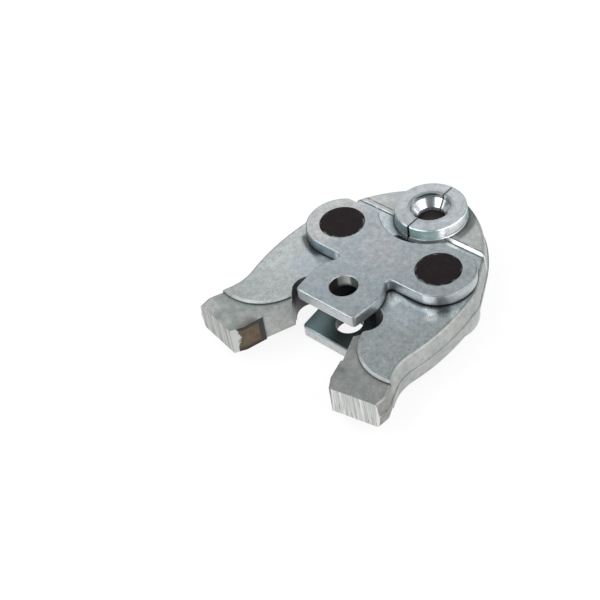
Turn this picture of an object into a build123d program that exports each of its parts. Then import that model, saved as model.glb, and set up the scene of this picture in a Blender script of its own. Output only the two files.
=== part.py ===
from build123d import *
import os
from math import acos, asin, atan2, cos, degrees, radians, sin, sqrt

os.makedirs("parts", exist_ok=True)

# The jaw lies flat: Z is the tool bolt's axis, Y points to the nose, Z=0 is the mid-plane.
# All sizes are in millimetres.

# Link plates
BOLT_R = 7.0
STACK_T = 32.0
PLATE_T = 6.5
PLATE_TOP = STACK_T / 2
PLATE_IN = PLATE_TOP - PLATE_T
HEAD_R = 19.8
TONGUE_REAR_Y = -14.6
TONGUE_REAR_X = 18.3
TONGUE_CORNER_R = 2.5
PIN_X = 30.5
PIN_Y = 34.3
LOBE_R = 18.5
LOBE_CUT = 2.5
LOBE_FRONT_R = 4.0
RELIEF_R = 26.0
NECK_R = 2.4
PLATE_EDGE_R = 0.8
RELIEF_HORN_R = 3.0
HIP_R = 12.0
BOLT_EDGE = 0.35

# Pivot pins
PIN_R = 11.5
PIN_EDGE = 0.6
PIN_RUN = 0.05
SEAT = 0.01

# Collar with the press contour
COLLAR_Y = 67.0
COLLAR_R = 18.25
COLLAR_TOP = 17.1
COLLAR_EDGE = 0.5
LIP_R = 7.1
LIP_TOP = 10.4
MOUTH_R = 10.4
MOUTH_H = 2.5
MOUTH_DRAFT = 0.4
BEAD_R = 11.2
BEAD_HALF = 8.7
BEAD_ROUND = 1.6
SPLIT_HALF = 0.15
SPLIT_NOTCH = 0.9

# Lever levels above the mid-plane
FLAT_RUN = 0.1
FLAT_Z = PLATE_IN - FLAT_RUN
TAIL_Z = 7.6
FRONT_Z = 10.4
STEP_Y = 59.5
BOSS_X = 46.2
BOSS_Y = -6.5
BOSS_R = 25.2
FORGED_R = 1.8
STEP_R = 4.0
BOSS_EDGE = 1.0
FOOT_R = 1.2
FOOT_H = 1.7

# Lever outline on the right-hand side, widest at the parting line in the mid-plane
DRAFT = 8.0
BULGE = 1.3
PARTING_PROUD = 0.3
PARTING_HALF = 0.7
HEEL_X = 56.3
HEEL_Y = -37.8
FLANK_X = 51.9
FLANK_Y = -27.5
WAIST_X = 50.5
WAIST_Y = -12.5
BELLY_X = 52.8
BELLY_Y = 3.0
SHOULDER_X = 50.8
SHOULDER_Y = 36.5
BROW_X = 42.2
BROW_Y = 53.2
CHEEK_X = 30.8
CHEEK_Y = 69.6
NOSE_X = 7.5
NOSE_Y = 85.4
HEEL_R = 3.5
SHOULDER_R = 8.0
END_OUT_X = 55.5
END_OUT_Y = -44.1
END_IN_X = 31.6
END_IN_Y = -48.6
END_STOCK = 4.0

# Roller track and inner side
LEAD_X = 28.0
LEAD_Y = -43.0
TRACK_X = 24.9
TRACK_Y = -32.4
TRACK_STEP = 0.8
TRACK_CUT = 0.5
CUSP_X = 19.7
CUSP_Y = -17.3
POCKET_X = 17.9
POCKET_Y = -6.0
POCKET_R = 8.4
WEB_X = 16.5
THROAT_X = 12.5
THROAT_Y = 22.0
CHEST_Y = 40.0
CREST_X = 6.0
CREST_Y = 48.0
FAR_IN_X = -20.0
CLEAR = 5.0

# Spring and its post
POST_Y = 16.0
POST_R = 4.0
POST_END_R = 2.5
POST_SEAT = 3.0
WIRE_R = 1.0
COIL_R = 5.2
COIL_PITCH = 2.3
COIL_TURNS = 3
LEG_X = 15.5
LEG_Y = 3.3


# Upper link plate
lobe_rear_y = PIN_Y - LOBE_R
lobe_front_y = PIN_Y + LOBE_R - LOBE_CUT
neck_x = sqrt(HEAD_R**2 - lobe_rear_y**2)
lobe_front_x = PIN_X + sqrt(LOBE_R**2 - (lobe_front_y - PIN_Y) ** 2)
relief_x = sqrt(RELIEF_R**2 - (COLLAR_Y - lobe_front_y) ** 2)

with BuildPart() as upper_link_plate:
    with BuildSketch(Plane.XY.offset(PLATE_IN)) as plate_outline:
        with BuildLine():
            Polyline((0, TONGUE_REAR_Y), (TONGUE_REAR_X, TONGUE_REAR_Y), (HEAD_R, 0))
            RadiusArc((HEAD_R, 0), (neck_x, lobe_rear_y), -HEAD_R)
            Line((neck_x, lobe_rear_y), (PIN_X, lobe_rear_y))
            ThreePointArc((PIN_X, lobe_rear_y), (PIN_X + LOBE_R, PIN_Y), (lobe_front_x, lobe_front_y))
            Line((lobe_front_x, lobe_front_y), (relief_x, lobe_front_y))
            ThreePointArc(
                (relief_x, lobe_front_y),
                (RELIEF_R * sin(radians(22)), COLLAR_Y - RELIEF_R * cos(radians(22))),
                (0, COLLAR_Y - RELIEF_R),
            )
            Line((0, COLLAR_Y - RELIEF_R), (0, TONGUE_REAR_Y))
        make_face()
        mirror(about=Plane.YZ)
    extrude(amount=PLATE_T)
    upright = upper_link_plate.edges().filter_by(Axis.Z)
    rear = upright.filter_by_position(Axis.Y, TONGUE_REAR_Y - 0.1, TONGUE_REAR_Y + 0.1)
    fillet(rear, TONGUE_CORNER_R)
    upright = upper_link_plate.edges().filter_by(Axis.Z)
    necks = upright.filter_by_position(Axis.Y, lobe_rear_y - 0.1, lobe_rear_y + 0.1)
    necks = necks.filter_by_position(Axis.X, -neck_x - 0.1, neck_x + 0.1)
    fillet(necks, NECK_R)
    upright = upper_link_plate.edges().filter_by(Axis.Z)
    fronts = upright.filter_by_position(Axis.Y, lobe_front_y - 0.1, lobe_front_y + 0.1)
    fronts_out = fronts.filter_by_position(Axis.X, lobe_front_x - 0.1, lobe_front_x + 0.1)
    fillet(fronts_out, LOBE_FRONT_R)
    upright = upper_link_plate.edges().filter_by(Axis.Z)
    fronts = upright.filter_by_position(Axis.Y, lobe_front_y - 0.1, lobe_front_y + 0.1)
    fronts_out = fronts.filter_by_position(Axis.X, -lobe_front_x - 0.1, -lobe_front_x + 0.1)
    fillet(fronts_out, LOBE_FRONT_R)
    upright = upper_link_plate.edges().filter_by(Axis.Z)
    horns = upright.filter_by_position(Axis.Y, lobe_front_y - 0.1, lobe_front_y + 0.1)
    horns = horns.filter_by_position(Axis.X, -relief_x - 0.1, relief_x + 0.1)
    fillet(horns, RELIEF_HORN_R)
    upright = upper_link_plate.edges().filter_by(Axis.Z)
    hips = upright.filter_by_position(Axis.Y, -0.1, 0.1)
    fillet(hips, HIP_R)
    rims = upper_link_plate.faces().sort_by(Axis.Z)[-1].edges()
    fillet(rims, PLATE_EDGE_R)
    inner_rims = upper_link_plate.faces().sort_by(Axis.Z)[0].edges()
    fillet(inner_rims, PLATE_EDGE_R)
    with BuildSketch(Plane.XY.offset(PLATE_IN)):
        Circle(BOLT_R)
    extrude(amount=PLATE_T, mode=Mode.SUBTRACT)
    with BuildSketch(Plane.XY.offset(PLATE_TOP - BOLT_EDGE)):
        Circle(BOLT_R)
    with BuildSketch(Plane.XY.offset(PLATE_TOP)):
        Circle(BOLT_R + BOLT_EDGE)
    loft(mode=Mode.SUBTRACT)
    with BuildSketch(Plane.XY.offset(PLATE_IN)):
        with Locations((PIN_X, PIN_Y), (-PIN_X, PIN_Y)):
            Circle(PIN_R + SEAT)
    extrude(amount=PLATE_T, mode=Mode.SUBTRACT)
    with BuildSketch(Plane.XY.offset(PLATE_IN)):
        with Locations((0, POST_Y)):
            Circle(POST_END_R + SEAT)
    extrude(amount=POST_SEAT + SEAT, mode=Mode.SUBTRACT)
upper_link_plate.part.label = "upper_link_plate"
export_step(upper_link_plate.part, "parts/upper_link_plate.step")

# Lower link plate
with BuildPart() as lower_link_plate:
    add(upper_link_plate.part.mirror(Plane.XY))
lower_link_plate.part.label = "lower_link_plate"
export_step(lower_link_plate.part, "parts/lower_link_plate.step")

# Right pivot pin
with BuildPart() as right_pivot_pin:
    with BuildSketch(Plane.XY.offset(-PLATE_TOP)):
        with Locations((PIN_X, PIN_Y)):
            Circle(PIN_R)
    extrude(amount=STACK_T)
    chamfer(right_pivot_pin.edges().filter_by(GeomType.CIRCLE), PIN_EDGE)
right_pivot_pin.part.label = "right_pivot_pin"
export_step(right_pivot_pin.part, "parts/right_pivot_pin.step")

# Left pivot pin
with BuildPart() as left_pivot_pin:
    add(right_pivot_pin.part.mirror(Plane.YZ))
left_pivot_pin.part.label = "left_pivot_pin"
export_step(left_pivot_pin.part, "parts/left_pivot_pin.step")

# Plan of the forging at the parting line, its inner side and its end left long for the later cuts
end_slope = (END_OUT_Y - END_IN_Y) / (END_OUT_X - END_IN_X)
end_far_y = END_IN_Y - end_slope * (END_IN_X - FAR_IN_X)
end_over_y = END_OUT_Y + end_slope * (HEEL_X + END_STOCK - END_OUT_X)
end_clear_y = end_far_y - 4 * END_STOCK
cut_in_x = FAR_IN_X - CLEAR
cut_in_y = end_far_y - CLEAR * end_slope
cut_front_y = NOSE_Y + 3 * CLEAR
stock_x = HEEL_X + END_STOCK

with BuildSketch(Plane.XY) as forging_plan:
    with BuildLine():
        flank = Line((HEEL_X, HEEL_Y), (FLANK_X, FLANK_Y))
        waist = TangentArc(flank @ 1, (WAIST_X, WAIST_Y), tangent=flank % 1)
        belly = TangentArc(waist @ 1, (BELLY_X, BELLY_Y), tangent=waist % 1)
        shoulder = TangentArc(belly @ 1, (SHOULDER_X, SHOULDER_Y), tangent=belly % 1)
        brow = Line(shoulder @ 1, (BROW_X, BROW_Y))
        cheek = TangentArc(brow @ 1, (CHEEK_X, CHEEK_Y), tangent=brow % 1)
        nose = TangentArc(cheek @ 1, (NOSE_X, NOSE_Y), tangent=cheek % 1)
        tip = TangentArc(nose @ 1, (-NOSE_X, NOSE_Y), tangent=nose % 1)
        Polyline(tip @ 1, (FAR_IN_X, NOSE_Y), (FAR_IN_X, end_far_y - END_STOCK))
        Polyline((FAR_IN_X, end_far_y - END_STOCK), (END_OUT_X, END_OUT_Y - END_STOCK), flank @ 0)
    make_face()
    heel = forging_plan.vertices().sort_by_distance((HEEL_X, HEEL_Y))[0]
    fillet(heel, HEEL_R)
    corner = forging_plan.vertices().sort_by_distance((SHOULDER_X, SHOULDER_Y))[0]
    fillet(corner, SHOULDER_R)
    offset(amount=BULGE, kind=Kind.INTERSECTION)

# Forging cut at the height of the tail
with BuildPart() as tail_blank:
    add(forging_plan.sketch)
    extrude(amount=TAIL_Z, taper=DRAFT)
    rim = tail_blank.faces().sort_by(Axis.Z)[-1].edges()
    rim = rim.filter_by_position(Axis.X, FAR_IN_X + 2, 100)
    fillet(rim, FORGED_R)
    mirror(about=Plane.XY)

# Forging cut at the height of the flats, kept only where the raised boss is
with BuildPart() as boss_blank:
    with BuildSketch(Plane.XY.offset(-FLAT_Z)):
        with Locations((BOSS_X, BOSS_Y)):
            Circle(BOSS_R)
    extrude(amount=2 * FLAT_Z)
    chamfer(boss_blank.edges().filter_by(GeomType.CIRCLE), BOSS_EDGE)
    with BuildSketch(Plane.XY.offset(-FLAT_Z)):
        with Locations((20, BOSS_Y + 50)):
            Rectangle(120, 100)
    extrude(amount=2 * FLAT_Z)

with BuildPart() as flat_blank:
    add(forging_plan.sketch)
    extrude(amount=FLAT_Z, taper=DRAFT)
    rim = flat_blank.faces().sort_by(Axis.Z)[-1].edges()
    rim = rim.filter_by_position(Axis.X, FAR_IN_X + 2, 100)
    fillet(rim, FORGED_R)
    mirror(about=Plane.XY)
    add(boss_blank.part, mode=Mode.INTERSECT)

# Thicker forging round the collar, in front of a step that sweeps up from the flats
step_h = FRONT_Z - FLAT_Z
step_run = sqrt(STEP_R**2 - (STEP_R - step_h) ** 2)
step_mid = STEP_R * sin(asin(step_run / STEP_R) / 2)
step_mid_h = STEP_R - sqrt(STEP_R**2 - step_mid**2)
with BuildPart() as front_box:
    with BuildSketch(Plane.YZ.offset(cut_in_x)):
        with BuildLine():
            ThreePointArc(
                (STEP_Y - step_run, FLAT_Z),
                (STEP_Y - step_run + step_mid, FLAT_Z + step_mid_h),
                (STEP_Y, FRONT_Z),
            )
            Polyline((STEP_Y, FRONT_Z), (STEP_Y + 60, FRONT_Z), (STEP_Y + 60, 0), (STEP_Y - step_run, 0))
            Line((STEP_Y - step_run, 0), (STEP_Y - step_run, FLAT_Z))
        make_face()
    extrude(amount=120)
    mirror(about=Plane.XY)

with BuildPart() as front_blank:
    add(forging_plan.sketch)
    extrude(amount=FRONT_Z, taper=DRAFT)
    rim = front_blank.faces().sort_by(Axis.Z)[-1].edges()
    rim = rim.filter_by_position(Axis.X, FAR_IN_X + 2, 100)
    fillet(rim, FORGED_R)
    mirror(about=Plane.XY)
    add(front_box.part, mode=Mode.INTERSECT)

# Land left by the trimmed flash, standing proud all along the parting line
with BuildPart() as parting_land:
    with BuildSketch(Plane.XY):
        add(forging_plan.sketch)
        offset(amount=PARTING_PROUD, kind=Kind.INTERSECTION)
    extrude(amount=PARTING_HALF, both=True)

# Straight side of the pocket, from the cusp to where it runs into the round
pocket_reach = sqrt((CUSP_X - POCKET_X) ** 2 + (CUSP_Y - POCKET_Y) ** 2)
pocket_side = sqrt(pocket_reach**2 - POCKET_R**2)
pocket_angle = atan2(POCKET_Y - CUSP_Y, POCKET_X - CUSP_X) - asin(POCKET_R / pocket_reach)
pocket_start_x = CUSP_X + pocket_side * cos(pocket_angle)
pocket_start_y = CUSP_Y + pocket_side * sin(pocket_angle)
web_y = POCKET_Y + sqrt(POCKET_R**2 - (WEB_X - POCKET_X) ** 2)
lead_over_x = END_IN_X + 0.6 * (END_IN_X - LEAD_X)
lead_over_y = END_IN_Y + 0.6 * (END_IN_Y - LEAD_Y)
foot_top = FLAT_Z + FOOT_H
edge_z = COLLAR_TOP - COLLAR_EDGE
funnel_x = MOUTH_R - MOUTH_DRAFT
funnel_z = COLLAR_TOP - MOUTH_H
round_x = BEAD_R - BEAD_ROUND
round_z = BEAD_HALF - BEAD_ROUND

# Right jaw lever
with BuildPart() as right_jaw_lever:
    add(tail_blank.part)
    add(flat_blank.part)
    add(front_blank.part)
    add(parting_land.part)
    # Sawn end of the tail
    with BuildSketch(Plane.XY.offset(-COLLAR_TOP)):
        with BuildLine():
            Line((cut_in_x, cut_in_y), (stock_x, end_over_y))
            Line((stock_x, end_over_y), (stock_x, end_clear_y))
            Line((stock_x, end_clear_y), (cut_in_x, end_clear_y))
            Line((cut_in_x, end_clear_y), (cut_in_x, cut_in_y))
        make_face()
    extrude(amount=2 * COLLAR_TOP, mode=Mode.SUBTRACT)
    # Inner side: roller track, cusp, pocket, throat and the split at the nose
    with BuildSketch(Plane.XY.offset(-COLLAR_TOP)):
        with BuildLine():
            Polyline((cut_in_x, end_clear_y), (lead_over_x, lead_over_y), (LEAD_X, LEAD_Y))
            Line((LEAD_X, LEAD_Y), (TRACK_X, TRACK_Y))
            Polyline((TRACK_X, TRACK_Y), (TRACK_X + TRACK_STEP, TRACK_Y + TRACK_CUT), (CUSP_X, CUSP_Y))
            Line((CUSP_X, CUSP_Y), (pocket_start_x, pocket_start_y))
            ThreePointArc((pocket_start_x, pocket_start_y), (POCKET_X + POCKET_R, POCKET_Y), (WEB_X, web_y))
            Polyline((WEB_X, web_y), (THROAT_X, THROAT_Y), (THROAT_X, CHEST_Y))
            Polyline((THROAT_X, CHEST_Y), (CREST_X, CREST_Y), (SPLIT_HALF, CREST_Y))
            Polyline((SPLIT_HALF, CREST_Y), (SPLIT_HALF, cut_front_y), (cut_in_x, cut_front_y))
            Line((cut_in_x, cut_front_y), (cut_in_x, end_clear_y))
        make_face()
    extrude(amount=2 * COLLAR_TOP, mode=Mode.SUBTRACT)
    # Half of the press collar, with a flared foot
    with BuildSketch(Plane.XZ.offset(-COLLAR_Y)):
        with BuildLine():
            Polyline((0, 0), (COLLAR_R + FOOT_R, 0), (COLLAR_R + FOOT_R, FLAT_Z), (COLLAR_R, foot_top))
            Polyline((COLLAR_R, foot_top), (COLLAR_R, edge_z), (COLLAR_R - COLLAR_EDGE, COLLAR_TOP))
            Polyline((COLLAR_R - COLLAR_EDGE, COLLAR_TOP), (0, COLLAR_TOP), (0, 0))
        make_face()
        mirror(about=Plane.XZ)
    revolve(axis=Axis((0, COLLAR_Y, 0), (0, 0, 1)))
    with BuildSketch(Plane.XY.offset(-COLLAR_TOP)):
        with Locations((SPLIT_HALF - 25, COLLAR_Y)):
            Rectangle(50, 50)
    extrude(amount=2 * COLLAR_TOP, mode=Mode.SUBTRACT)
    # Small notches where the split meets the collar's outer wall
    with BuildSketch(Plane.XY.offset(-COLLAR_TOP)):
        with Locations((0, COLLAR_Y - COLLAR_R), (0, COLLAR_Y + COLLAR_R)):
            Rectangle(SPLIT_NOTCH * sqrt(2), SPLIT_NOTCH * sqrt(2), rotation=45)
    extrude(amount=COLLAR_TOP - FRONT_Z, mode=Mode.SUBTRACT)
    with BuildSketch(Plane.XY.offset(FRONT_Z)):
        with Locations((0, COLLAR_Y - COLLAR_R), (0, COLLAR_Y + COLLAR_R)):
            Rectangle(SPLIT_NOTCH * sqrt(2), SPLIT_NOTCH * sqrt(2), rotation=45)
    extrude(amount=COLLAR_TOP - FRONT_Z, mode=Mode.SUBTRACT)
    # Press contour: a steep mouth, a funnel down to a narrow lip and the bead groove between the lips
    with BuildSketch(Plane.XZ.offset(-COLLAR_Y)):
        with BuildLine():
            Polyline((0, 0), (0, COLLAR_TOP), (MOUTH_R, COLLAR_TOP), (funnel_x, funnel_z))
            Polyline((funnel_x, funnel_z), (LIP_R, LIP_TOP), (LIP_R, BEAD_HALF))
            Polyline((LIP_R, BEAD_HALF), (round_x, BEAD_HALF), (BEAD_R, round_z), (BEAD_R, 0))
            Line((BEAD_R, 0), (0, 0))
        make_face()
        mirror(about=Plane.XZ)
    revolve(axis=Axis((0, COLLAR_Y, 0), (0, 0, 1)), mode=Mode.SUBTRACT)
    # Pivot bore
    with BuildSketch(Plane.XY.offset(-COLLAR_TOP)):
        with Locations((PIN_X, PIN_Y)):
            Circle(PIN_R + PIN_RUN)
    extrude(amount=2 * COLLAR_TOP, mode=Mode.SUBTRACT)
right_jaw_lever.part.label = "right_jaw_lever"
export_step(right_jaw_lever.part, "parts/right_jaw_lever.step")

# Left jaw lever
with BuildPart() as left_jaw_lever:
    add(right_jaw_lever.part.mirror(Plane.YZ))
left_jaw_lever.part.label = "left_jaw_lever"
export_step(left_jaw_lever.part, "parts/left_jaw_lever.step")

# Spring post, seated in blind holes of both plates
with BuildPart() as spring_post:
    with BuildSketch(Plane.XY.offset(-PLATE_IN - POST_SEAT)):
        with Locations((0, POST_Y)):
            Circle(POST_END_R)
    extrude(amount=2 * (PLATE_IN + POST_SEAT))
    with BuildSketch(Plane.XY.offset(-PLATE_IN)):
        with Locations((0, POST_Y)):
            Circle(POST_R)
    extrude(amount=2 * PLATE_IN)
spring_post.part.label = "spring_post"
export_step(spring_post.part, "parts/spring_post.step")

# Closing spring, a torsion coil round the post whose legs bear on the inner sides of the levers
leg_reach = sqrt(LEG_X**2 + (POST_Y - LEG_Y) ** 2)
leg_length = sqrt(leg_reach**2 - COIL_R**2)
leg_bearing = degrees(atan2(LEG_Y - POST_Y, LEG_X))
leg_swing = degrees(acos(COIL_R / leg_reach))
coil_start = 180 - leg_bearing + leg_swing
coil_turns = COIL_TURNS + (leg_bearing - leg_swing + 90) / 180
coil_height = COIL_PITCH * coil_turns
with BuildPart() as closing_spring:
    with BuildLine() as spring_wire:
        coil = Helix(COIL_PITCH, coil_height, COIL_R, mode=Mode.PRIVATE)
        coil = coil.rotate(Axis.Z, coil_start).translate((0, POST_Y, -coil_height / 2))
        add(coil)
        Line(coil @ 1, coil @ 1 + (coil % 1) * leg_length)
        Line(coil @ 0, coil @ 0 - (coil % 0) * leg_length)
    wire_end = spring_wire.wires()[0]
    with BuildSketch(Plane(origin=wire_end @ 0, z_dir=wire_end % 0)):
        Circle(WIRE_R)
    sweep(path=wire_end)
closing_spring.part.label = "closing_spring"
export_step(closing_spring.part, "parts/closing_spring.step")
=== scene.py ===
import math

import bpy
import bmesh
from mathutils import Matrix, Vector


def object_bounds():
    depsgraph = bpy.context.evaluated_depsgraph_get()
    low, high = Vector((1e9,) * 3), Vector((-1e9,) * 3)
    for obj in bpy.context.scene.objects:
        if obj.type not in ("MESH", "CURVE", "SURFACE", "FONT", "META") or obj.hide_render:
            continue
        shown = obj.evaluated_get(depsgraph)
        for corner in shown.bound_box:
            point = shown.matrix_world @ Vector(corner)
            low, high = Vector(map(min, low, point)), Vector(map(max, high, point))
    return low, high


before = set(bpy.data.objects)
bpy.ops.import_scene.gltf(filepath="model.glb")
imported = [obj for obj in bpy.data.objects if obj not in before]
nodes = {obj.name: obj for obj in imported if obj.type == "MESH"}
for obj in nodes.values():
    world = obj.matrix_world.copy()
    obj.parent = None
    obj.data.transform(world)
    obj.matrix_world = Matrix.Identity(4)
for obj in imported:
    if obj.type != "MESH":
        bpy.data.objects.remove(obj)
cad_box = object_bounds()

# Places and radii on the object, in metres, with the middle of the tool bolt's hole as zero
FLOOR_Z = cad_box[0][2]
PLATE_IN = 0.0095
BOLT_R = 0.0070
LOBE_R = 0.0185
PIN_X = 0.0305
PIN_Y = 0.0343
PIN_R = 0.0115
COLLAR_Y = 0.067
COLLAR_R = 0.01825
RELIEF_R = 0.026
MOUTH_R = 0.0104
BEAD_R = 0.0112
BEAD_HALF = 0.0087
FLAT_Z = 0.0094
TAIL_Z = 0.0076
STEP_Y = 0.0595
TRACK_Y = -0.0324
POCKET_X = 0.0179
POCKET_Y = -0.0060
POCKET_R = 0.0084

# Camera, in degrees, metres and the photograph's pixels
CAM_AZ, CAM_EL, CAM_ROLL = 48.53, 43.94, -10.0
CAM_DIST = 0.70773
CAM_TARGET = Vector((-0.01742, -0.00373, 0.0))
FOCAL_PX = 1444.95
CENTRE_PX = (315.5, 299.5)
FRAME_PX = 600.0
SENSOR_MM = 36.0

# Studio
FLOOR_HALF = 6.0
FLOOR_GREY = (0.88, 0.88, 0.88)
FLOOR_GLOW = 0.88
SKY_LIGHT = 0.55
SIDE_BOX = (0.95, 0.58)
SIDE_POWER = 4.5
AIM = (0.02, 0.02, 0.0)


def camera_axes():
    """Right, up and back of the camera in the object's frame."""
    az, el, roll = (math.radians(v) for v in (CAM_AZ, CAM_EL, CAM_ROLL))
    back = Vector((math.sin(az) * math.cos(el), -math.cos(az) * math.cos(el), math.sin(el)))
    right = Vector((math.cos(az), math.sin(az), 0.0))
    up = back.cross(right)
    cam_x = right * math.cos(roll) + up * math.sin(roll)
    cam_y = up * math.cos(roll) - right * math.sin(roll)
    return cam_x, cam_y, back


def place_camera():
    cam_x, cam_y, back = camera_axes()
    data = bpy.data.cameras.new("camera")
    data.sensor_width = SENSOR_MM
    data.sensor_fit = "HORIZONTAL"
    data.lens = FOCAL_PX * SENSOR_MM / FRAME_PX
    data.shift_x = (FRAME_PX / 2 - CENTRE_PX[0]) / FRAME_PX
    data.shift_y = (CENTRE_PX[1] - FRAME_PX / 2) / FRAME_PX
    data.clip_start = 0.01
    data.clip_end = 50.0
    cam = bpy.data.objects.new("camera", data)
    bpy.context.scene.collection.objects.link(cam)
    turn = Matrix((cam_x, cam_y, back)).transposed().to_4x4()
    cam.matrix_world = Matrix.Translation(CAM_TARGET + back * CAM_DIST) @ turn
    bpy.context.scene.camera = cam


# Shader node helpers
class Sock:
    """A shader value that can be added, multiplied and compared in plain formulas."""

    def __init__(self, g, out):
        self.g = g
        self.out = out

    def __add__(self, o):
        return self.g.math("ADD", self, o)

    __radd__ = __add__

    def __sub__(self, o):
        return self.g.math("SUBTRACT", self, o)

    def __rsub__(self, o):
        return self.g.math("SUBTRACT", o, self)

    def __mul__(self, o):
        return self.g.math("MULTIPLY", self, o)

    __rmul__ = __mul__

    def __truediv__(self, o):
        return self.g.math("DIVIDE", self, o)

    def __neg__(self):
        return self.g.math("MULTIPLY", self, -1.0)


class Graph:
    """A material's or the world's node tree with short calls."""

    def __init__(self, name, world=None):
        self.owner = world or bpy.data.materials.new(name)
        self.owner.use_nodes = True
        self.nt = self.owner.node_tree
        self.nt.nodes.clear()
        self.out = self.new("ShaderNodeOutputWorld" if world else "ShaderNodeOutputMaterial")

    def new(self, kind, **props):
        n = self.nt.nodes.new(kind)
        for k, v in props.items():
            setattr(n, k, v)
        return n

    def put(self, socket, value):
        """Link a Sock to a socket, or set the socket to a number or colour."""
        if isinstance(value, Sock):
            self.nt.links.new(value.out, socket)
        elif value is not None:
            if hasattr(socket.default_value, "__len__") and not hasattr(value, "__len__"):
                value = (value,) * len(socket.default_value)
            if hasattr(value, "__len__") and len(value) == 3 and len(socket.default_value) == 4:
                value = (*value, 1.0)
            socket.default_value = value

    def math(self, op, a, b=None, c=None, clamp=False):
        n = self.new("ShaderNodeMath", operation=op, use_clamp=clamp)
        self.put(n.inputs[0], a)
        self.put(n.inputs[1], b)
        self.put(n.inputs[2], c)
        return Sock(self, n.outputs[0])

    def absolute(self, v):
        return self.math("ABSOLUTE", v)

    def hypot(self, a, b):
        return self.math("SQRT", a * a + b * b)

    def coord(self, kind="Object"):
        """Object place or Normal, both fixed to the piece, or the world's Generated direction."""
        return Sock(self, self.new("ShaderNodeTexCoord").outputs[kind])

    def split(self, v):
        n = self.new("ShaderNodeSeparateXYZ")
        self.put(n.inputs[0], v)
        return [Sock(self, n.outputs[i]) for i in range(3)]

    def join(self, x, y, z):
        n = self.new("ShaderNodeCombineXYZ")
        self.put(n.inputs[0], x)
        self.put(n.inputs[1], y)
        self.put(n.inputs[2], z)
        return Sock(self, n.outputs[0])

    def mapping(self, vec, scale, turn=0.0):
        """Scale a place on each axis, then turn it about Z, in radians."""
        n = self.new("ShaderNodeMapping")
        self.put(n.inputs["Vector"], vec)
        n.inputs["Scale"].default_value = scale
        n.inputs["Rotation"].default_value = (0.0, 0.0, turn)
        return Sock(self, n.outputs[0])

    def noise(self, vec, scale, detail=4.0, rough=0.55, distortion=0.0):
        n = self.new("ShaderNodeTexNoise")
        self.put(n.inputs["Vector"], vec)
        n.inputs["Scale"].default_value = scale
        n.inputs["Detail"].default_value = detail
        n.inputs["Roughness"].default_value = rough
        n.inputs["Distortion"].default_value = distortion
        return Sock(self, n.outputs["Fac"])

    def step(self, v, lo, hi):
        """0 below lo, 1 above hi, smooth between."""
        n = self.new("ShaderNodeMapRange", interpolation_type="SMOOTHSTEP")
        n.clamp = True
        self.put(n.inputs["Value"], v)
        n.inputs["From Min"].default_value = lo
        n.inputs["From Max"].default_value = hi
        return Sock(self, n.outputs["Result"])

    def fade(self, v, lo, hi):
        """1 below lo, 0 above hi, smooth between."""
        return 1.0 - self.step(v, lo, hi)

    def span(self, v, lo, hi, soft):
        """1 between lo and hi, 0 outside, with a soft rim."""
        return self.step(v, lo - soft, lo + soft) * self.fade(v, hi - soft, hi + soft)

    def sector(self, ux, uy, angle, half, soft):
        """1 within half of an angle round a centre, in degrees, with a soft rim."""
        a = math.radians(angle)
        lo = math.cos(math.radians(half + soft))
        hi = math.cos(math.radians(max(half - soft, 0.0)))
        return self.step(ux * math.cos(a) + uy * math.sin(a), lo, hi)

    def lin(self, v, lo, hi, a, b):
        """From a at lo to b at hi in a straight line, and level beyond."""
        n = self.new("ShaderNodeMapRange")
        n.clamp = True
        self.put(n.inputs["Value"], v)
        n.inputs["From Min"].default_value = lo
        n.inputs["From Max"].default_value = hi
        n.inputs["To Min"].default_value = a
        n.inputs["To Max"].default_value = b
        return Sock(self, n.outputs["Result"])

    def spread(self, v, a=0.0, b=1.0):
        """A noise's middle range, where most of it lies, from a to b."""
        return self.lin(v, 0.3, 0.7, a, b)

    def mix(self, fac, a, b):
        """Colour a where fac is 0, colour b where it is 1."""
        n = self.new("ShaderNodeMix", data_type="RGBA")
        self.put(n.inputs[0], fac)
        self.put(n.inputs[6], a)
        self.put(n.inputs[7], b)
        return Sock(self, n.outputs[2])

    def toward(self, fac, value, target):
        """A number where fac is 0, the target where it is 1."""
        return self.math("MULTIPLY_ADD", fac, target - value, value)

    def scale_color(self, color, value):
        n = self.new("ShaderNodeVectorMath", operation="SCALE")
        self.put(n.inputs[0], color)
        self.put(n.inputs["Scale"], value)
        return Sock(self, n.outputs[0])

    def dot(self, a, b):
        n = self.new("ShaderNodeVectorMath", operation="DOT_PRODUCT")
        self.put(n.inputs[0], a)
        self.put(n.inputs[1], b)
        return Sock(self, n.outputs["Value"])

    def rounded(self, radius, samples=4):
        """The surface normal with its edges rounded."""
        bev = self.new("ShaderNodeBevel", samples=samples)
        bev.inputs["Radius"].default_value = radius
        return Sock(self, bev.outputs[0])

    def edge(self, radius):
        """How near a sharp outer or inner edge the point is, from 0 to 1."""
        bend = self.rounded(radius)
        flat = Sock(self, self.new("ShaderNodeNewGeometry").outputs["Normal"])
        return self.lin(self.dot(bend, flat), 0.995, 0.80, 0.0, 1.0)

    def crevice(self, distance, samples=6):
        """1 in the open, towards 0 in corners."""
        ao = self.new("ShaderNodeAmbientOcclusion", samples=samples)
        ao.inputs["Distance"].default_value = distance
        return Sock(self, ao.outputs["AO"])

    def bump(self, height, strength, distance, normal=None):
        n = self.new("ShaderNodeBump")
        n.inputs["Strength"].default_value = strength
        n.inputs["Distance"].default_value = distance
        self.put(n.inputs["Height"], height)
        self.put(n.inputs["Normal"], normal)
        return Sock(self, n.outputs[0])

    def background(self, color, strength=1.0):
        n = self.new("ShaderNodeBackground")
        self.put(n.inputs["Color"], color)
        n.inputs["Strength"].default_value = strength
        return n

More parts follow.
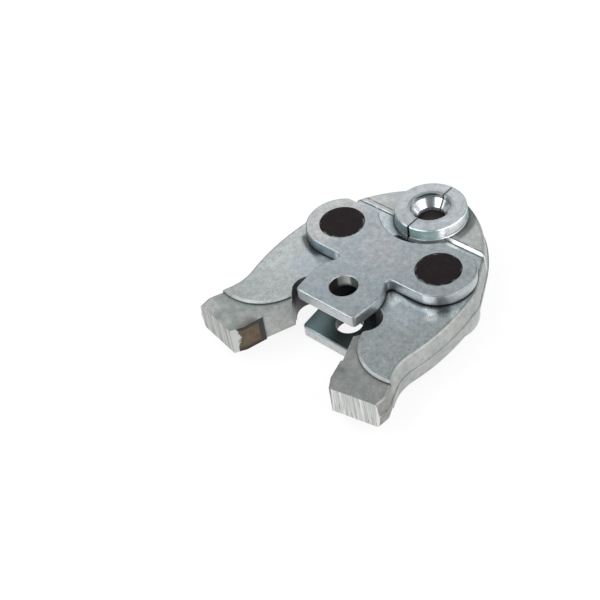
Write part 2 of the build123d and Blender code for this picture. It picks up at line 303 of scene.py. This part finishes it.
    def mix_shaders(self, fac, a, b):
        n = self.new("ShaderNodeMixShader")
        self.put(n.inputs[0], fac)
        self.nt.links.new(a.outputs[0], n.inputs[1])
        self.nt.links.new(b.outputs[0], n.inputs[2])
        return n

    def finish(self, shader):
        self.nt.links.new(shader.outputs[0], self.out.inputs["Surface"])
        return self.owner

    def metal(self, color, roughness, normal, metallic=1.0, specular=0.5):
        n = self.new("ShaderNodeBsdfPrincipled")
        self.put(n.inputs["Base Color"], color)
        self.put(n.inputs["Roughness"], roughness)
        self.put(n.inputs["Normal"], normal)
        self.put(n.inputs["Metallic"], metallic)
        n.inputs["Specular IOR Level"].default_value = specular
        return self.finish(n)


# Finishes that several pieces share
def grainy(g, p, col, amount):
    """Mottle a colour with two sizes of grain."""
    coarse = g.noise(p, 330.0, 3.0, 0.6)
    fine = g.noise(p, 900.0, 3.0, 0.7)
    grain = coarse * 0.5 + fine * 0.5
    return g.scale_color(col, g.lin(grain, 0.32, 0.68, 1.0 - amount, 1.0 + amount))


def steel_tones(g, noise, dark, light):
    """A colour between dark and light that follows a noise."""
    return g.mix(g.spread(noise), dark, light)


# Link plates
def zinc_face(g, p, x, y, cloud, scratch):
    """Cool, cloudy zinc, paler at the left lobe, with warm patches, scratches and one small spot."""
    zinc = steel_tones(g, cloud, (0.262, 0.300, 0.318), (0.318, 0.342, 0.354))
    warm = g.step(g.noise(p, 48.0, 3.0, 0.5), 0.52, 0.66)
    zinc = g.mix(warm * 0.5, zinc, (0.325, 0.322, 0.332))
    zinc = g.mix(g.step(-x, 0.020, 0.034), zinc, (0.375, 0.380, 0.380))
    zinc = g.scale_color(zinc, g.lin(x, -0.010, 0.034, 1.0, 0.90))
    zinc = g.mix(scratch * 0.25, zinc, (0.52, 0.54, 0.55))
    spot_x = x - 0.0032
    spot_y = y - 0.0152
    spot = g.fade(spot_x * spot_x + spot_y * spot_y, 0.0000004, 0.0000018)
    return g.mix(spot * 0.5, zinc, (0.16, 0.18, 0.22))


def lobe_walls(g, x, y, z, nz, wall, col):
    """Painted dark teal reflection on the left lobe's rear wall, a painted highlight on the right
    lobe's.
    """
    lobe_y = y - PIN_Y
    left_r = g.hypot(x + PIN_X, lobe_y)
    # painted dark teal reflection on the left lobe's rear wall
    left_wall_shade = g.step(left_r, LOBE_R - 0.00085, LOBE_R - 0.0005)
    left_wall_shade = left_wall_shade * g.fade(lobe_y, -0.008, 0.004) * g.fade(x, -0.0205, -0.0185)
    left_wall_shade = left_wall_shade * g.step(z, 0.0, 0.001) * g.fade(nz, 0.80, 0.97)
    col = g.mix(left_wall_shade, col, (0.185, 0.225, 0.245))
    right_x = x - PIN_X
    right_r = g.hypot(right_x, lobe_y)
    # painted highlight on the right lobe's wall
    right_wall_highlight = g.sector(right_x / right_r, lobe_y / right_r, -66.0, 9.0, 4.0)
    right_wall_highlight = right_wall_highlight * g.step(right_r, LOBE_R - 0.0007, LOBE_R - 0.0003)
    return g.mix(right_wall_highlight * wall, col, (0.95, 0.97, 0.98))


def lower_plate_top(g, x, z, nz, col):
    """The lower plate's upper face has painted shade and reflection: teal, and black towards the right.
    """
    low = g.fade(z, 0.0003 - PLATE_IN, 0.0015 - PLATE_IN) * g.step(nz, 0.3, 0.7)
    # painted shade and reflection where the upper plate covers this face
    painted_shade = g.mix(g.step(x, -0.016, 0.004), (0.31, 0.43, 0.445), (0.065, 0.085, 0.083))
    return g.mix(low, col, painted_shade)


def bolt_bore(g, x, y, z, col):
    """Painted shade in the tool bolt's bore, with a painted highlight on one side of its wall."""
    bore = g.fade(g.hypot(x, y), BOLT_R, BOLT_R + 0.00015)
    # painted shade in the bore, darker lower down
    painted_shade = g.step(z, PLATE_IN, PLATE_IN + 0.003)
    painted_shade = g.mix(painted_shade, (0.055, 0.060, 0.058), (0.085, 0.090, 0.088))
    col = g.mix(bore, col, painted_shade)
    # painted highlight on one side of the bore's wall
    bore_highlight = g.step(x * -0.66 + y * 0.75, 0.00600, 0.00655) * g.step(z, PLATE_IN, PLATE_IN + 0.002)
    return g.mix(bore * bore_highlight, col, (0.42, 0.43, 0.42))


def plated_plate():
    """Zinc plated link plate."""
    g = Graph("zinc_plated_plate")
    p = g.coord()
    x, y, z = g.split(p)
    nz = g.split(g.coord("Normal"))[2]
    cloud = g.noise(p, 70.0, 5.0, 0.6)
    grain = g.noise(p, 420.0, 4.0, 0.6)
    scratch = g.step(g.noise(g.mapping(p, (900.0, 45.0, 60.0), -0.9), 1.0, 2.0, 0.5), 0.69, 0.73)
    wall = g.fade(nz, 0.25, 0.55)
    col = grainy(g, p, zinc_face(g, p, x, y, cloud, scratch), 0.26)
    col = g.mix(wall, col, grainy(g, p, (0.47, 0.495, 0.505), 0.2))
    col = lobe_walls(g, x, y, z, nz, wall, col)
    col = lower_plate_top(g, x, z, nz, col)
    col = bolt_bore(g, x, y, z, col)
    edge = g.edge(0.0007)
    worn = g.math("MULTIPLY", edge, g.step(g.noise(p, 300.0, 3.0), 0.35, 0.6), clamp=True)
    col = g.mix(worn * 0.25, col, (0.55, 0.57, 0.58))
    # painted shade in corners and along contact lines
    corner_shade = g.lin(g.crevice(0.003), 0.35, 0.80, 1.0, 0.0)
    col = g.mix(corner_shade * 0.8, col, (0.03, 0.034, 0.034))
    rough = g.spread(grain, 0.27, 0.42) + g.spread(cloud, -0.04, 0.05)
    relief = g.bump(grain * 0.5 - scratch * 0.5, 0.16, 0.0001, g.rounded(0.0003))
    return g.metal(col, rough + edge * 0.2, relief, 0.85)


# Jaw levers
# The levers differ in colours, in the tail's oil, in the step's painted light, and in how bright the
# sawn end is
RIGHT_TONES = {
    "tail": ((0.175, 0.187, 0.183), (0.225, 0.230, 0.223)),
    "tail_oil": 0.3,
    "flat": ((0.240, 0.278, 0.284), (0.300, 0.322, 0.322)),
    "flat_blue": (0.315, 0.360, 0.392),
    "step": 0.60,
    "sawn": 1.24,
    "pocket": (0.034, 0.036, 0.040),
}
LEFT_TONES = {
    "tail": ((0.205, 0.232, 0.226), (0.285, 0.295, 0.287)),
    "tail_oil": 0.8,
    "flat": ((0.320, 0.345, 0.342), (0.385, 0.402, 0.398)),
    "flat_blue": (0.325, 0.362, 0.395),
    "step": -0.34,
    "sawn": 0.90,
    "pocket": (0.145, 0.138, 0.150),
}


class Lever:
    """Coordinates and masks of a jaw lever's finishes. The side is 1 for right and -1 for left."""

    def __init__(self, g, side):
        self.side = side
        self.tones = RIGHT_TONES if side > 0 else LEFT_TONES
        self.p = g.coord()
        self.x, self.y, self.z = g.split(self.p)
        self.nx, self.ny, nz = g.split(g.coord("Normal"))
        self.ax = self.x * side
        self.az = g.absolute(self.z)
        self.anz = g.absolute(nz)
        self.ring_y = self.y - COLLAR_Y
        self.ring_r = g.hypot(self.x, self.ring_y)
        self.level = g.step(self.anz, 0.90, 0.97)
        self.in_collar = g.fade(self.ring_r, COLLAR_R + 0.0001, COLLAR_R + 0.00035)
        self.off_collar = 1.0 - self.in_collar
        at_flat = g.span(self.az, FLAT_Z - 0.0004, FLAT_Z + 0.0004, 0.0002)
        at_tail = g.span(self.az, TAIL_Z - 0.0006, TAIL_Z + 0.0006, 0.0002)
        self.on_flat = self.level * at_flat * self.off_collar
        self.on_tail = self.level * at_tail * g.fade(self.y, -0.012, -0.008)
        self.near_ring = g.fade(self.ring_r, RELIEF_R + 0.0002, RELIEF_R + 0.0015)


def forged_skin(g, lever, cloud, broad):
    """Forged skin, darker and browner on the tails, with oil on their inner corners."""
    skin = steel_tones(g, cloud, (0.34, 0.36, 0.35), (0.45, 0.462, 0.452))
    brown = g.step(g.noise(lever.p, 120.0, 3.0), 0.5, 0.72)
    skin = g.mix(brown * 0.35, skin, (0.36, 0.33, 0.29))
    tail = g.mix(g.lin(broad, 0.35, 0.65, 0.0, 1.0), *lever.tones["tail"])
    if lever.side < 0:
        outer = g.step(lever.ax, 0.043, 0.050) * g.step(-lever.y, 0.034, 0.040)
        tail = g.mix(outer, tail, (0.33, 0.33, 0.325))
    oily = g.fade(lever.ax, 0.0270, 0.0345) * g.step(-lever.y, 0.0335, 0.0375)
    tail = g.mix(oily * lever.tones["tail_oil"], tail, (0.085, 0.080, 0.066))
    skin = g.mix(lever.on_tail, skin, tail)
    heel = g.fade(lever.y, -0.036, -0.026) * g.step(lever.ax, 0.040, 0.048) * (1.0 - lever.level)
    return g.mix(heel, skin, (0.285, 0.28, 0.268))


def milled_flat(g, lever, cloud):
    """Milled flat, bluer near the plates, with painted shade round the plate's lobe and painted glints
    beside it.
    """
    flat = steel_tones(g, cloud, *lever.tones["flat"])
    blue = g.step(lever.y, -0.008, 0.006) * g.fade(lever.ax, 0.034, 0.042)
    flat = g.mix(blue * 0.8, flat, lever.tones["flat_blue"])
    lobe_x = lever.ax - PIN_X
    lobe_y = lever.y - PIN_Y
    lobe_r = g.hypot(lobe_x, lobe_y)
    lobe_x = lobe_x / lobe_r
    lobe_y = lobe_y / lobe_r
    if lever.side > 0:
        # polished beside the collar, and three painted glints beside the lobe
        flat = g.mix(lever.near_ring, flat, (0.42, 0.44, 0.44))
        painted_glints = g.sector(lobe_x, lobe_y, -60.0, 5.0, 3.0) + g.sector(lobe_x, lobe_y, -34.0, 5.0, 3.0)
        painted_glints = painted_glints + g.sector(lobe_x, lobe_y, -110.0, 5.0, 3.0)
        flat = g.mix(painted_glints * g.span(lobe_r, 0.0230, 0.0282, 0.0016), flat, (0.50, 0.53, 0.545))
        # painted shade round the right lobe's foot, and between the glints
        painted_shade = g.sector(lobe_x, lobe_y, -80.0, 36.0, 8.0) * g.fade(lobe_r, 0.0198, 0.0212)
        glint_gap_shade = g.sector(lobe_x, lobe_y, -46.0, 7.0, 4.0) * g.fade(lobe_r, 0.0225, 0.0245)
        painted_shade = g.math("MAXIMUM", painted_shade, glint_gap_shade * 0.8)
    else:
        # painted shade round the left lobe's foot
        painted_shade = g.sector(lobe_x, lobe_y, -67.0, 26.0, 8.0) * g.fade(lobe_r, 0.0202, 0.0222)
    return g.mix(painted_shade * 0.8, flat, (0.03, 0.038, 0.042))


def turned_collar(g, lever, wall):
    """Turned steel with a teal wall, with a painted highlight on its right and painted shade on its
    left.
    """
    turned = steel_tones(g, g.noise(lever.p, 220.0, 4.0), (0.285, 0.310, 0.325), (0.362, 0.382, 0.396))
    to_right = (lever.x * 0.98 - lever.ring_y * 0.20) / lever.ring_r
    to_left = (-lever.x - lever.ring_y * 0.35) / lever.ring_r
    # painted highlight on the wall's right side, painted shade on its left
    teal = g.mix(g.step(to_right, 0.80, 0.93), (0.51, 0.68, 0.67), (0.93, 0.95, 0.96))
    teal = g.mix(g.step(to_left, 0.0, 0.5), teal, (0.27, 0.36, 0.37))
    return g.mix(wall, turned, teal)


def collar_funnel(g, lever, land, col):
    """Bright funnel with two painted highlights, two stretches of painted shade, and painted shade
    under its far rim.
    """
    ring_x = lever.x / lever.ring_r
    ring_y = lever.ring_y / lever.ring_r
    funnel_tone_and_light = steel_tones(g, g.noise(lever.p, 380.0, 4.0), (0.42, 0.46, 0.48), (0.58, 0.62, 0.64))
    # painted highlights on two stretches, painted shade on two others and under the far rim
    bright = g.sector(ring_x, ring_y, 96.0, 14.0, 8.0) + g.sector(ring_x, ring_y, 177.0, 17.0, 9.0)
    funnel_tone_and_light = g.mix(bright, funnel_tone_and_light, (0.96, 0.98, 0.99))
    funnel_shade = g.sector(ring_x, ring_y, 60.0, 14.0, 8.0) + g.sector(ring_x, ring_y, 219.0, 14.0, 9.0)
    funnel_tone_and_light = g.mix(funnel_shade * 0.7, funnel_tone_and_light, (0.10, 0.11, 0.115))
    far_rim = g.sector(ring_x, ring_y, 138.0, 36.0, 14.0) * g.step(lever.az, 0.0155, 0.0161)
    funnel_tone_and_light = g.mix(far_rim * 0.85, funnel_tone_and_light, (0.03, 0.04, 0.042))
    return g.mix(land, col, funnel_tone_and_light)


def collar_shades(g, lever, col):
    """Painted shade in the bead groove, a dark split line, and painted shade on the mouth's rim and
    round the collar's foot.
    """
    # painted shade in the bead groove
    groove_shade = g.fade(lever.az, BEAD_HALF - 0.0003, BEAD_HALF + 0.0003)
    groove_shade = groove_shade * g.fade(lever.ring_r, BEAD_R + 0.0002, BEAD_R + 0.0004)
    col = g.mix(groove_shade, col, (0.055, 0.042, 0.045))
    split_line = g.fade(lever.ax, 0.0004, 0.0007) * g.step(lever.y, 0.046, 0.048)
    col = g.mix(split_line * 0.8, col, (0.06, 0.06, 0.06))
    # painted shade on the mouth's rim, stronger on the far side
    far = g.step((lever.ring_y * 0.75 - lever.x * 0.66) / lever.ring_r, -0.2, 0.6)
    mouth_rim_shade = lever.level * lever.in_collar * g.fade(lever.ring_r, MOUTH_R + 0.0008, MOUTH_R + 0.0018)
    col = g.mix(mouth_rim_shade * (far * 0.5 + 0.2), col, (0.10, 0.11, 0.12))
    # painted shade round the collar's foot
    foot = g.fade(lever.ring_r, 0.0188, 0.0232) * lever.off_collar * g.fade(lever.y, 0.058, 0.060)
    col = g.mix(foot * 0.8, col, (0.06, 0.075, 0.08))
    # painted shade beside the collar's right foot
    right_foot_shade = g.step((lever.x * 0.93 + lever.ring_y * 0.37) / lever.ring_r, 0.72, 0.86)
    right_foot_shade = right_foot_shade * g.fade(lever.ring_r, 0.0215, 0.0238) * lever.off_collar
    return g.mix(right_foot_shade * 0.65, col, (0.07, 0.072, 0.074))


def thick_front(g, lever, col):
    """Right lever's front darker. Step: painted light on the slope, painted shade at foot and crest."""
    if lever.side > 0:
        front = lever.level * g.step(lever.y, STEP_Y, STEP_Y + 0.001) * lever.off_collar
        col = g.scale_color(col, 1.0 - front * 0.14)
    # painted highlight on the right step's slope, painted shade on the left
    slope_light = g.span(lever.y, STEP_Y - 0.0020, STEP_Y + 0.0004, 0.0002) * (1.0 - lever.level)
    col = g.scale_color(col, 1.0 + slope_light * lever.off_collar * lever.tones["step"])
    # painted shade along the step's foot and crest
    foot = g.span(lever.y, STEP_Y - 0.0024, STEP_Y - 0.0016, 0.0002)
    crest_shade = g.span(lever.y, STEP_Y + 0.0002, STEP_Y + 0.0009, 0.0002)
    step_shade_lines = (foot + crest_shade) * g.step(lever.az, FLAT_Z - 0.0006, FLAT_Z - 0.0003) * lever.off_collar
    step_shade_lines = step_shade_lines * g.step(g.noise(lever.p, 260.0, 3.0), 0.28, 0.50)
    return g.mix(step_shade_lines * 0.8, col, (0.05, 0.052, 0.052))


def sawn_end(g, lever, end, col):
    """Saw marks that run down the tail's end. Returns the colour and the marks."""
    along = lever.x * 0.983 + lever.y * 0.186 * lever.side
    wide = g.noise(g.join(along, 0.0, lever.z * 0.03), 480.0, 3.0, 0.7)
    marks = g.noise(g.join(along, 0.0, lever.z * 0.05), 1000.0, 2.0, 0.7)
    sawn = g.mix(g.lin(wide, 0.35, 0.65, 0.0, 1.0), (0.27, 0.28, 0.27), (0.62, 0.62, 0.61))
    sawn = g.scale_color(sawn, lever.tones["sawn"])
    sawn = g.mix(g.step(marks, 0.55, 0.65) * 0.65, sawn, (0.12, 0.12, 0.115))
    return g.mix(end, col, sawn), marks


def roller_track(g, lever, stain, col):
    """Bare, oiled and rusty track with a ragged rear end. Returns the colour and the rusty area."""
    track = g.step(-(lever.nx * lever.side), 0.55, 0.75)
    track = track * g.fade(lever.y, TRACK_Y - 0.0002, TRACK_Y + 0.0004)
    track = track * g.fade(lever.ax, 0.0335, 0.0345)
    rust = steel_tones(g, stain, (0.075, 0.052, 0.038), (0.19, 0.14, 0.095))
    blot = g.noise(lever.p, 140.0, 4.0, 0.6, 0.6)
    rust = g.mix(g.step(blot, 0.50, 0.62) * 0.7, rust, (0.10, 0.105, 0.055))
    rim = g.step(lever.az, 0.0045, 0.0066)
    rust = g.mix(rim * 0.9, rust, (0.045, 0.035, 0.03))
    lip = g.span(lever.y, TRACK_Y - 0.0028, TRACK_Y - 0.0001, 0.0003)
    rust = g.mix(lip, rust, (0.05, 0.048, 0.05))
    col = g.mix(track * 0.8, col, (0.58, 0.585, 0.575))
    ragged = g.noise(lever.p, 210.0, 4.0, 0.6) + g.lin(lever.y, -0.0475, -0.0440, -0.32, 0.14)
    track = track * g.step(ragged, 0.36, 0.46)
    return g.mix(track, col, rust), track


def pocket_shade(g, lever):
    """Mask of painted shade in the round pocket behind the track, and on the lever's inner chest."""
    pit_r = g.hypot(lever.ax - POCKET_X, lever.y - POCKET_Y)
    pit = g.fade(pit_r, POCKET_R + 0.0004, POCKET_R + 0.0007)
    chest = g.fade(lever.ax, 0.0175, 0.0185) * g.span(lever.y, -0.0130, 0.0460, 0.0005)
    return g.math("MAXIMUM", pit, chest) * (1.0 - lever.level) * lever.off_collar


def plated_forging(side):
    """Zinc plated forging: milled flats, half a turned collar, a bare roller track, a sawn end."""
    g = Graph("zinc_plated_forging_" + ("right" if side > 0 else "left"))
    lever = Lever(g, side)
    p = lever.p
    cloud = g.noise(p, 60.0, 5.0, 0.6)
    broad = g.noise(p, 150.0, 3.0, 0.55)
    grain = g.noise(p, 900.0, 4.0, 0.65)
    fine = g.noise(p, 700.0, 3.0, 0.6)
    stain = g.noise(p, 330.0, 5.0, 0.65)
    rings = g.noise(g.join(lever.ring_r, 0.0, lever.z * 0.15), 5200.0, 3.0, 0.6)
    wall = g.step(lever.ring_r, COLLAR_R - 0.00035, COLLAR_R - 0.00015)
    wall = wall * (1.0 - lever.level) * lever.in_collar
    land = g.fade(lever.ring_r, MOUTH_R - 0.0001, MOUTH_R)
    land = land * g.step(lever.az, BEAD_HALF - 0.0003, BEAD_HALF + 0.0003)
    end = g.step(-lever.ny, 0.90, 0.96) * g.fade(lever.y, -0.0405, -0.0395)

    col = g.mix(lever.on_flat, forged_skin(g, lever, cloud, broad), milled_flat(g, lever, cloud))
    col = g.mix(lever.in_collar, col, turned_collar(g, lever, wall))
    col = grainy(g, p, col, 0.26)
    col = collar_funnel(g, lever, land, col)
    col = collar_shades(g, lever, col)
    col = thick_front(g, lever, col)
    col, saw_marks = sawn_end(g, lever, end, col)
    col, track = roller_track(g, lever, stain, col)
    pocket = pocket_shade(g, lever)
    # painted shade in the pocket and on the inner chest
    col = g.mix(pocket, col, lever.tones["pocket"])
    # painted shade on the rounded edge between tail top and flank
    brow_shade = g.span(lever.anz, 0.70, 0.975, 0.03) * g.step(lever.ax, 0.036, 0.040)
    brow_shade = brow_shade * g.step(lever.az, TAIL_Z - 0.0001, TAIL_Z + 0.0009)
    col = g.mix(brow_shade * 0.4, col, (0.12, 0.125, 0.125))

    # edges rubbed bright, and painted shade in corners, but less along the parting seam
    edge = g.edge(0.0008)
    worn = edge * g.step(g.noise(p, 260.0, 3.0), 0.35, 0.6) * (1.0 - track) * (1.0 - pocket)
    col = g.mix(worn * 0.25, col, (0.55, 0.57, 0.57))
    corner_shade = g.lin(g.crevice(0.003), 0.52, 0.84, 1.0, 0.0)
    seam = g.fade(lever.az, 0.0025, 0.0040) * g.step(lever.ax, 0.030, 0.040)
    col = g.mix(corner_shade * (0.85 - seam * 0.5), col, (0.02, 0.022, 0.022))

    rough = g.spread(grain, 0.42, 0.58)
    rough = g.toward(lever.on_flat, rough, g.spread(fine, 0.22, 0.36))
    rough = g.toward(lever.in_collar, rough, g.spread(rings, 0.24, 0.34))
    rough = g.toward(wall, rough, 0.14)
    rough = g.toward(lever.on_flat * lever.near_ring, rough, 0.14)
    rough = g.toward(land, rough, 0.20)
    rough = g.toward(track, rough, g.spread(stain, 0.35, 0.60))

    height = (grain * 0.6 + broad * 1.2) * (1.0 - lever.on_flat) * lever.off_collar
    height = height + fine * 0.25 * lever.on_flat + rings * lever.in_collar * 0.35
    height = height - end * saw_marks * 0.8
    relief = g.bump(height, 0.28, 0.00012, g.rounded(0.00035))
    return g.metal(col, rough + edge * 0.15, relief, 0.80 - wall * 0.35)


# Pins, post and spring
def blackened_pin():
    """Blackened pin head with scuffs and a ragged bright rim."""
    g = Graph("blackened_pin")
    p = g.coord()
    x, y = g.split(p)[:2]
    r = g.hypot(g.absolute(x) - PIN_X, y - PIN_Y)
    cloud = g.noise(p, 180.0, 5.0, 0.65)
    ragged = g.noise(p, 300.0, 4.0, 0.7)
    scuff = g.noise(g.mapping(p, (160.0, 900.0, 160.0), 0.7), 1.0, 3.0, 0.6)
    col = steel_tones(g, cloud, (0.0045, 0.0032, 0.0036), (0.014, 0.009, 0.010))
    col = g.mix(g.step(scuff, 0.55, 0.7) * 0.5, col, (0.024, 0.015, 0.015))
    rim = g.step(r + (ragged - 0.5) * 0.0050, PIN_R - 0.00065, PIN_R - 0.00025)
    col = g.mix(rim * 0.75, col, (0.14, 0.142, 0.145))
    relief = g.bump(scuff * 0.5 + cloud * 0.4, 0.2, 0.0001, g.rounded(0.0003))
    return g.metal(col, g.spread(cloud, 0.40, 0.60), relief, 0.55, 0.15)


def spring_steel(name, dark, light):
    """Drawn steel between two tones."""
    g = Graph(name)
    p = g.coord()
    drawn = g.noise(g.mapping(p, (400.0, 400.0, 2500.0)), 1.0, 3.0, 0.6)
    col = steel_tones(g, g.noise(p, 500.0, 4.0, 0.6), dark, light)
    return g.metal(col, g.spread(drawn, 0.28, 0.42), g.bump(drawn, 0.15, 0.0001))


def paint(mat, *names):
    for name in names:
        data = nodes[name].data
        data.materials.clear()
        data.materials.append(mat)


# Floor, world and lamps
def floor_white():
    """A white glow with a faint shadow to the camera and in reflections, pale grey to other light."""
    g = Graph("floor_white")
    rays = g.new("ShaderNodeLightPath").outputs
    seen = g.math("MAXIMUM", Sock(g, rays["Is Camera Ray"]), Sock(g, rays["Is Glossy Ray"]))
    seen = g.math("MAXIMUM", seen, Sock(g, rays["Is Transmission Ray"]))
    matte = g.new("ShaderNodeBsdfDiffuse")
    g.put(matte.inputs["Color"], FLOOR_GREY)
    glow = g.new("ShaderNodeEmission")
    g.put(glow.inputs["Color"], (1.0, 1.0, 1.0))
    return g.finish(g.mix_shaders(seen * FLOOR_GLOW, matte, glow))


def lay_floor():
    bm = bmesh.new()
    bmesh.ops.create_grid(bm, x_segments=8, y_segments=8, size=FLOOR_HALF)
    mesh = bpy.data.meshes.new("floor")
    bm.to_mesh(mesh)
    bm.free()
    mesh.materials.append(floor_white())
    floor = bpy.data.objects.new("floor", mesh)
    floor.location.z = FLOOR_Z
    bpy.context.scene.collection.objects.link(floor)


def facing(w, direction, aim, lo, hi):
    """1 in the studio direction aim, falling to 0 from angle lo to angle hi, in degrees."""
    along = w.dot(direction, Vector(aim).normalized())
    return w.step(along, math.cos(math.radians(hi)), math.cos(math.radians(lo)))


def studio_world():
    """White behind the object, soft light from all round, and a room that only reflections show."""
    world = bpy.data.worlds.new("studio")
    bpy.context.scene.world = world
    w = Graph("studio", world)
    direction = w.coord("Generated")
    height = w.split(direction)[2]
    camera_back = camera_axes()[2]
    room = w.mix(w.step(height, -0.1, 0.55), (0.55, 0.58, 0.59), (0.34, 0.355, 0.36))
    room = w.mix(facing(w, direction, (-0.30, -0.10, 0.95), 15, 45), room, (0.95, 0.97, 0.98))
    room = w.mix(facing(w, direction, camera_back, 16, 36) * 0.93, room, (0.03, 0.035, 0.04))
    rays = w.new("ShaderNodeLightPath").outputs
    light = w.background((0.93, 0.97, 1.0), SKY_LIGHT)
    lit = w.mix_shaders(Sock(w, rays["Is Glossy Ray"]), light, w.background(room))
    w.finish(w.mix_shaders(Sock(w, rays["Is Camera Ray"]), lit, w.background((1.0, 1.0, 1.0))))


def softbox(name, place, aim, size, power):
    data = bpy.data.lights.new(name, "AREA")
    data.shape = "RECTANGLE"
    data.size, data.size_y = size
    data.energy = power
    lamp = bpy.data.objects.new(name, data)
    lamp.location = place
    lamp.rotation_euler = (Vector(aim) - Vector(place)).to_track_quat("-Z", "Y").to_euler()
    bpy.context.scene.collection.objects.link(lamp)
    return lamp


def hang_lamps():
    """A level card high behind the object, a box on either side and one overhead."""
    card = softbox("card", (-0.395, 0.4675, 0.35), (-0.395, 0.4675, 0.0), (0.5, 0.5), 1.0)
    card.rotation_euler = (0.0, 0.0, math.atan2(0.5, 0.87))
    softbox("left_box", (-0.24, -0.52, 0.52), AIM, SIDE_BOX, SIDE_POWER)
    softbox("right_box", (0.55, 0.19, 0.52), AIM, SIDE_BOX, SIDE_POWER)
    softbox("top_box", (-0.35, -0.10, 0.78), (0.0, 0.02, 0.0), (0.5, 0.4), 1.8)


place_camera()
bpy.context.scene.view_settings.view_transform = "Standard"

paint(plated_plate(), "upper_link_plate", "lower_link_plate")
paint(plated_forging(1.0), "right_jaw_lever")
paint(plated_forging(-1.0), "left_jaw_lever")
paint(blackened_pin(), "left_pivot_pin", "right_pivot_pin")
paint(spring_steel("post_steel", (0.16, 0.16, 0.165), (0.28, 0.285, 0.29)), "spring_post")
paint(spring_steel("spring_wire", (0.05, 0.05, 0.055), (0.12, 0.12, 0.125)), "closing_spring")

lay_floor()
studio_world()
hang_lamps()
